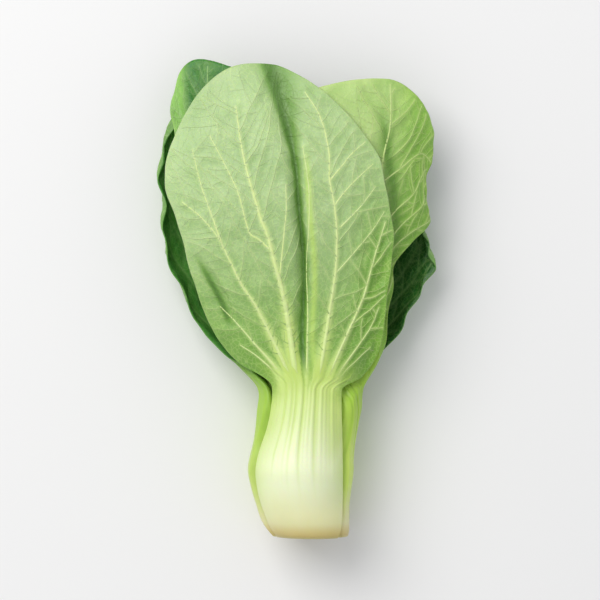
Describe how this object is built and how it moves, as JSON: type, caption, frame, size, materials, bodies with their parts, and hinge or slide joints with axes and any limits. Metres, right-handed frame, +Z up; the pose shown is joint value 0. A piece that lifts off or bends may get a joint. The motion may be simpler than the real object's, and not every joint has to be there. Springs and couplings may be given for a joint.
{
  "type": "baby bok choy head",
  "caption": "Whole trimmed head of baby bok choy lying on its back, pale stalks packed round a cut stem and broad green blades fanned out.",
  "frame": {"origin": "on the flat spot under the belly of the stalks, where the head rests on the surface", "axes": "+Y along the head from the cut end to the leaf tips, +Z up from the surface it lies on"},
  "size_m": [0.1125, 0.192, 0.0415],
  "materials": {
    "stem": "matt moist cut plant tissue, cream with a tan rim",
    "leaf_outer": "soft satin leaf back, light green blade running into a pale stalk",
    "leaf_under": "satin leaf face, deep green blade running into a pale stalk",
    "leaf_inner": "satin leaf, mid green blade running into a pale stalk",
    "leaf_young": "satin young leaf, yellow green"
  },
  "bodies": {
    "root": {"stem_base": "stem", "leaf_front": "leaf_outer", "leaf_lower_left": "leaf_under", "leaf_right": "leaf_outer", "leaf_upper_left": "leaf_outer", "leaf_lower_right": "leaf_under", "leaf_inner_1": "leaf_inner", "leaf_inner_2": "leaf_inner", "leaf_inner_3": "leaf_inner", "leaf_inner_4": "leaf_inner", "leaf_inner_5": "leaf_inner", "leaf_heart": "leaf_young"}
  },
  "joints": []
}
